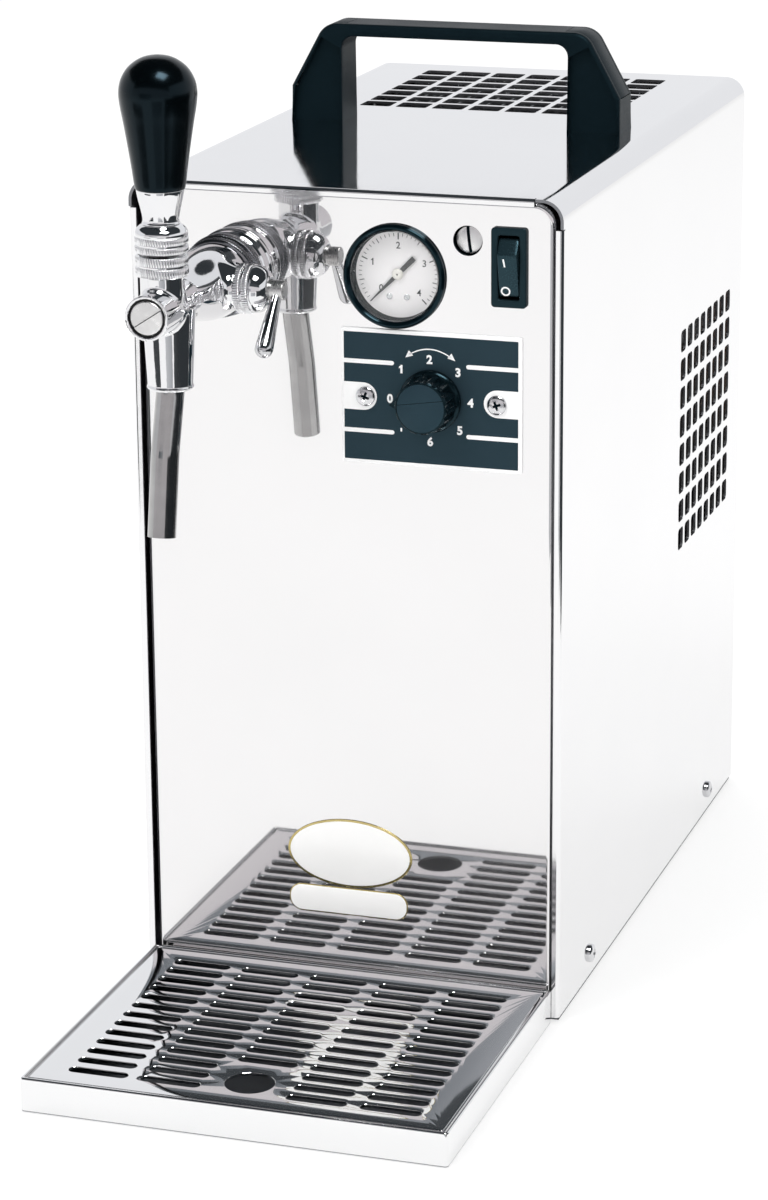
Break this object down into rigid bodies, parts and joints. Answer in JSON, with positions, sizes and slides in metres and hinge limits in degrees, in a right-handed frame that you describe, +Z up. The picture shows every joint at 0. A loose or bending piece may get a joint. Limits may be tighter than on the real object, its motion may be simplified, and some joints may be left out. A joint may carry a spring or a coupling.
{
  "type": "countertop beer dispenser",
  "caption": "Slim countertop beer cooler with a compensator tap, pressure gauge, thermostat knob, rocker switch, carry handle, vented steel cover and drip tray.",
  "frame": {"origin": "under the middle of the whole outline, on the surface that the cabinet and the drip tray stand on", "axes": "+Z up, -Y towards the tap and the drip tray, +X towards the vented side"},
  "size_m": [0.1792, 0.466, 0.392],
  "materials": {
    "satin_stainless": "satin rolled stainless sheet",
    "mirror_stainless": "polished stainless sheet, almost a mirror",
    "zinc_sheet": "zinc-plated sheet",
    "tray_stainless": "polished stainless sheet",
    "gauge_black": "gloss black enamel",
    "chrome_plate": "polished chrome plate",
    "steel_fastener": "bright zinc-plated steel",
    "black_rubber": "matt moulded rubber",
    "handle_black": "fine-textured moulded plastic",
    "knob_black": "satin moulded plastic",
    "switch_black": "satin moulded plastic",
    "pear_black": "polished thermoset",
    "label_black": "printed satin sheet",
    "dial_white": "printed white enamel",
    "needle_black": "matt paint",
    "badge_white": "blank gloss label",
    "clear_glass": "clear flat glass",
    "thermostat_case": "plain moulded plastic",
    "brass_plain": "turned brass",
    "copper_tube": "drawn copper",
    "cast_aluminium": "sand-cast, skimmed faces",
    "fin_aluminium": "thin bright sheet",
    "foam_cream": "moulded foam",
    "compressor_black": "semi-gloss black paint",
    "fan_black": "moulded plastic",
    "pump_grey": "cast case, grey paint",
    "hose_white": "food-grade hose",
    "hose_blue": "air hose",
    "gland_black": "moulded plastic"
  },
  "bodies": {
    "cabinet": {"air_outlet": "chrome_plate", "air_pump": "pump_grey", "air_tubes": "hose_blue", "base_plate": "zinc_sheet", "beer_inlet": "chrome_plate", "beer_tubes": "hose_white", "blank_badges": "badge_white", "carry_handle": "handle_black", "check_valve": "gland_black", "compensator_cap": "chrome_plate", "compressor": "compressor_black", "compressor_mounts": "black_rubber", "condenser": "fin_aluminium", "cooling_block": "cast_aluminium", "cord_gland": "gland_black", "coupling_nut": "chrome_plate", "cover_screws": "steel_fastener", "cover_shell": "mirror_stainless", "fan_frame": "fan_black", "fan_motor": "pump_grey", "feet": "black_rubber", "filter_drier": "copper_tube", "front_panel": "mirror_stainless", "front_plug": "chrome_plate", "gauge_case": "gauge_black", "gauge_dial": "dial_white", "gauge_lens": "clear_glass", "handle_bolts": "steel_fastener", "handle_caps": "handle_black", "insulation_box": "foam_cream", "insulation_lid": "foam_cream", "neck_nut": "chrome_plate", "plate_screws": "steel_fastener", "pump_feet": "black_rubber", "rear_panel": "satin_stainless", "refrigerant_lines": "copper_tube", "regulator_sleeve": "steel_fastener", "shank_nut": "brass_plain", "spout": "chrome_plate", "switch_housing": "switch_black", "tap_body": "chrome_plate", "tap_shank": "chrome_plate", "thermostat_body": "thermostat_case", "thermostat_plate": "label_black"},
    "tap_lever": {"lever_ball": "steel_fastener", "lever_collar": "chrome_plate", "lever_ferrule": "chrome_plate", "lever_handle": "pear_black"},
    "tap_valve": {"valve_rod": "steel_fastener", "valve_seal": "black_rubber"},
    "compensator_arm": {"compensator_hub": "steel_fastener", "compensator_lever": "chrome_plate"},
    "flow_cone": {"compensator_cone": "knob_black"},
    "temperature_knob": {"thermostat_knob": "knob_black"},
    "needle": {"gauge_needle": "needle_black"},
    "rocker": {"switch_rocker": "switch_black"},
    "adjusting_screw": {"pressure_screw": "steel_fastener"},
    "fan_wheel": {"fan_rotor": "fan_black"},
    "tray": {"drip_tray": "tray_stainless"},
    "grille": {"drip_grille": "tray_stainless"}
  },
  "joints": [
    {"name": "lever_tilt", "type": "hinge", "parent": "cabinet", "child": "tap_lever", "pos_m": [-0.045, -0.166, 0.314], "axis": [1, 0, 0], "range_deg": [0, 30]},
    {"name": "valve_slide", "type": "slide", "parent": "cabinet", "child": "tap_valve", "axis": [0, 1, 0], "range_m": [0, 0.0072]},
    {"name": "compensator_turn", "type": "hinge", "parent": "cabinet", "child": "compensator_arm", "pos_m": [-0.045, -0.123, 0.2981], "axis": [1, 0, 0], "range_deg": [-45, 45]},
    {"name": "cone_slide", "type": "slide", "parent": "cabinet", "child": "flow_cone", "axis": [0, 1, 0], "range_m": [-0.0022, 0.0022]},
    {"name": "knob_turn", "type": "hinge", "parent": "cabinet", "child": "temperature_knob", "pos_m": [0.0349, -0.092, 0.2513], "axis": [0, 1, 0], "range_deg": [0, 270]},
    {"name": "needle_swing", "type": "hinge", "parent": "cabinet", "child": "needle", "pos_m": [0.0207, -0.092, 0.2994], "axis": [0, 1, 0], "range_deg": [0, 270], "stiffness_Nm_per_rad": 0.0005},
    {"name": "rocker_tip", "type": "hinge", "parent": "cabinet", "child": "rocker", "pos_m": [0.06595, -0.087, 0.3049], "axis": [-1, 0, 0], "range_deg": [0, 20]},
    {"name": "screw_turn", "type": "hinge", "parent": "cabinet", "child": "adjusting_screw", "pos_m": [0.0494, -0.088, 0.3142], "axis": [0, 1, 0], "range_deg": [-180, 180]},
    {"name": "fan_spin", "type": "hinge", "parent": "cabinet", "child": "fan_wheel", "pos_m": [0, 0.132, 0.2676], "axis": [0, 1, 0], "continuous": true},
    {"name": "tray_slide", "type": "slide", "parent": "cabinet", "child": "tray", "axis": [0, -1, 0], "range_m": [0, 0.12]},
    {"name": "grille_lift", "type": "slide", "parent": "tray", "child": "grille", "axis": [0, 0, 1], "range_m": [0, 0.04]}
  ],
  "couplings": [
    {"joint": "valve_slide", "follows": "lever_tilt", "m_per_rad": 0.013656},
    {"joint": "cone_slide", "follows": "compensator_turn", "m_per_rad": -0.0027}
  ]
}
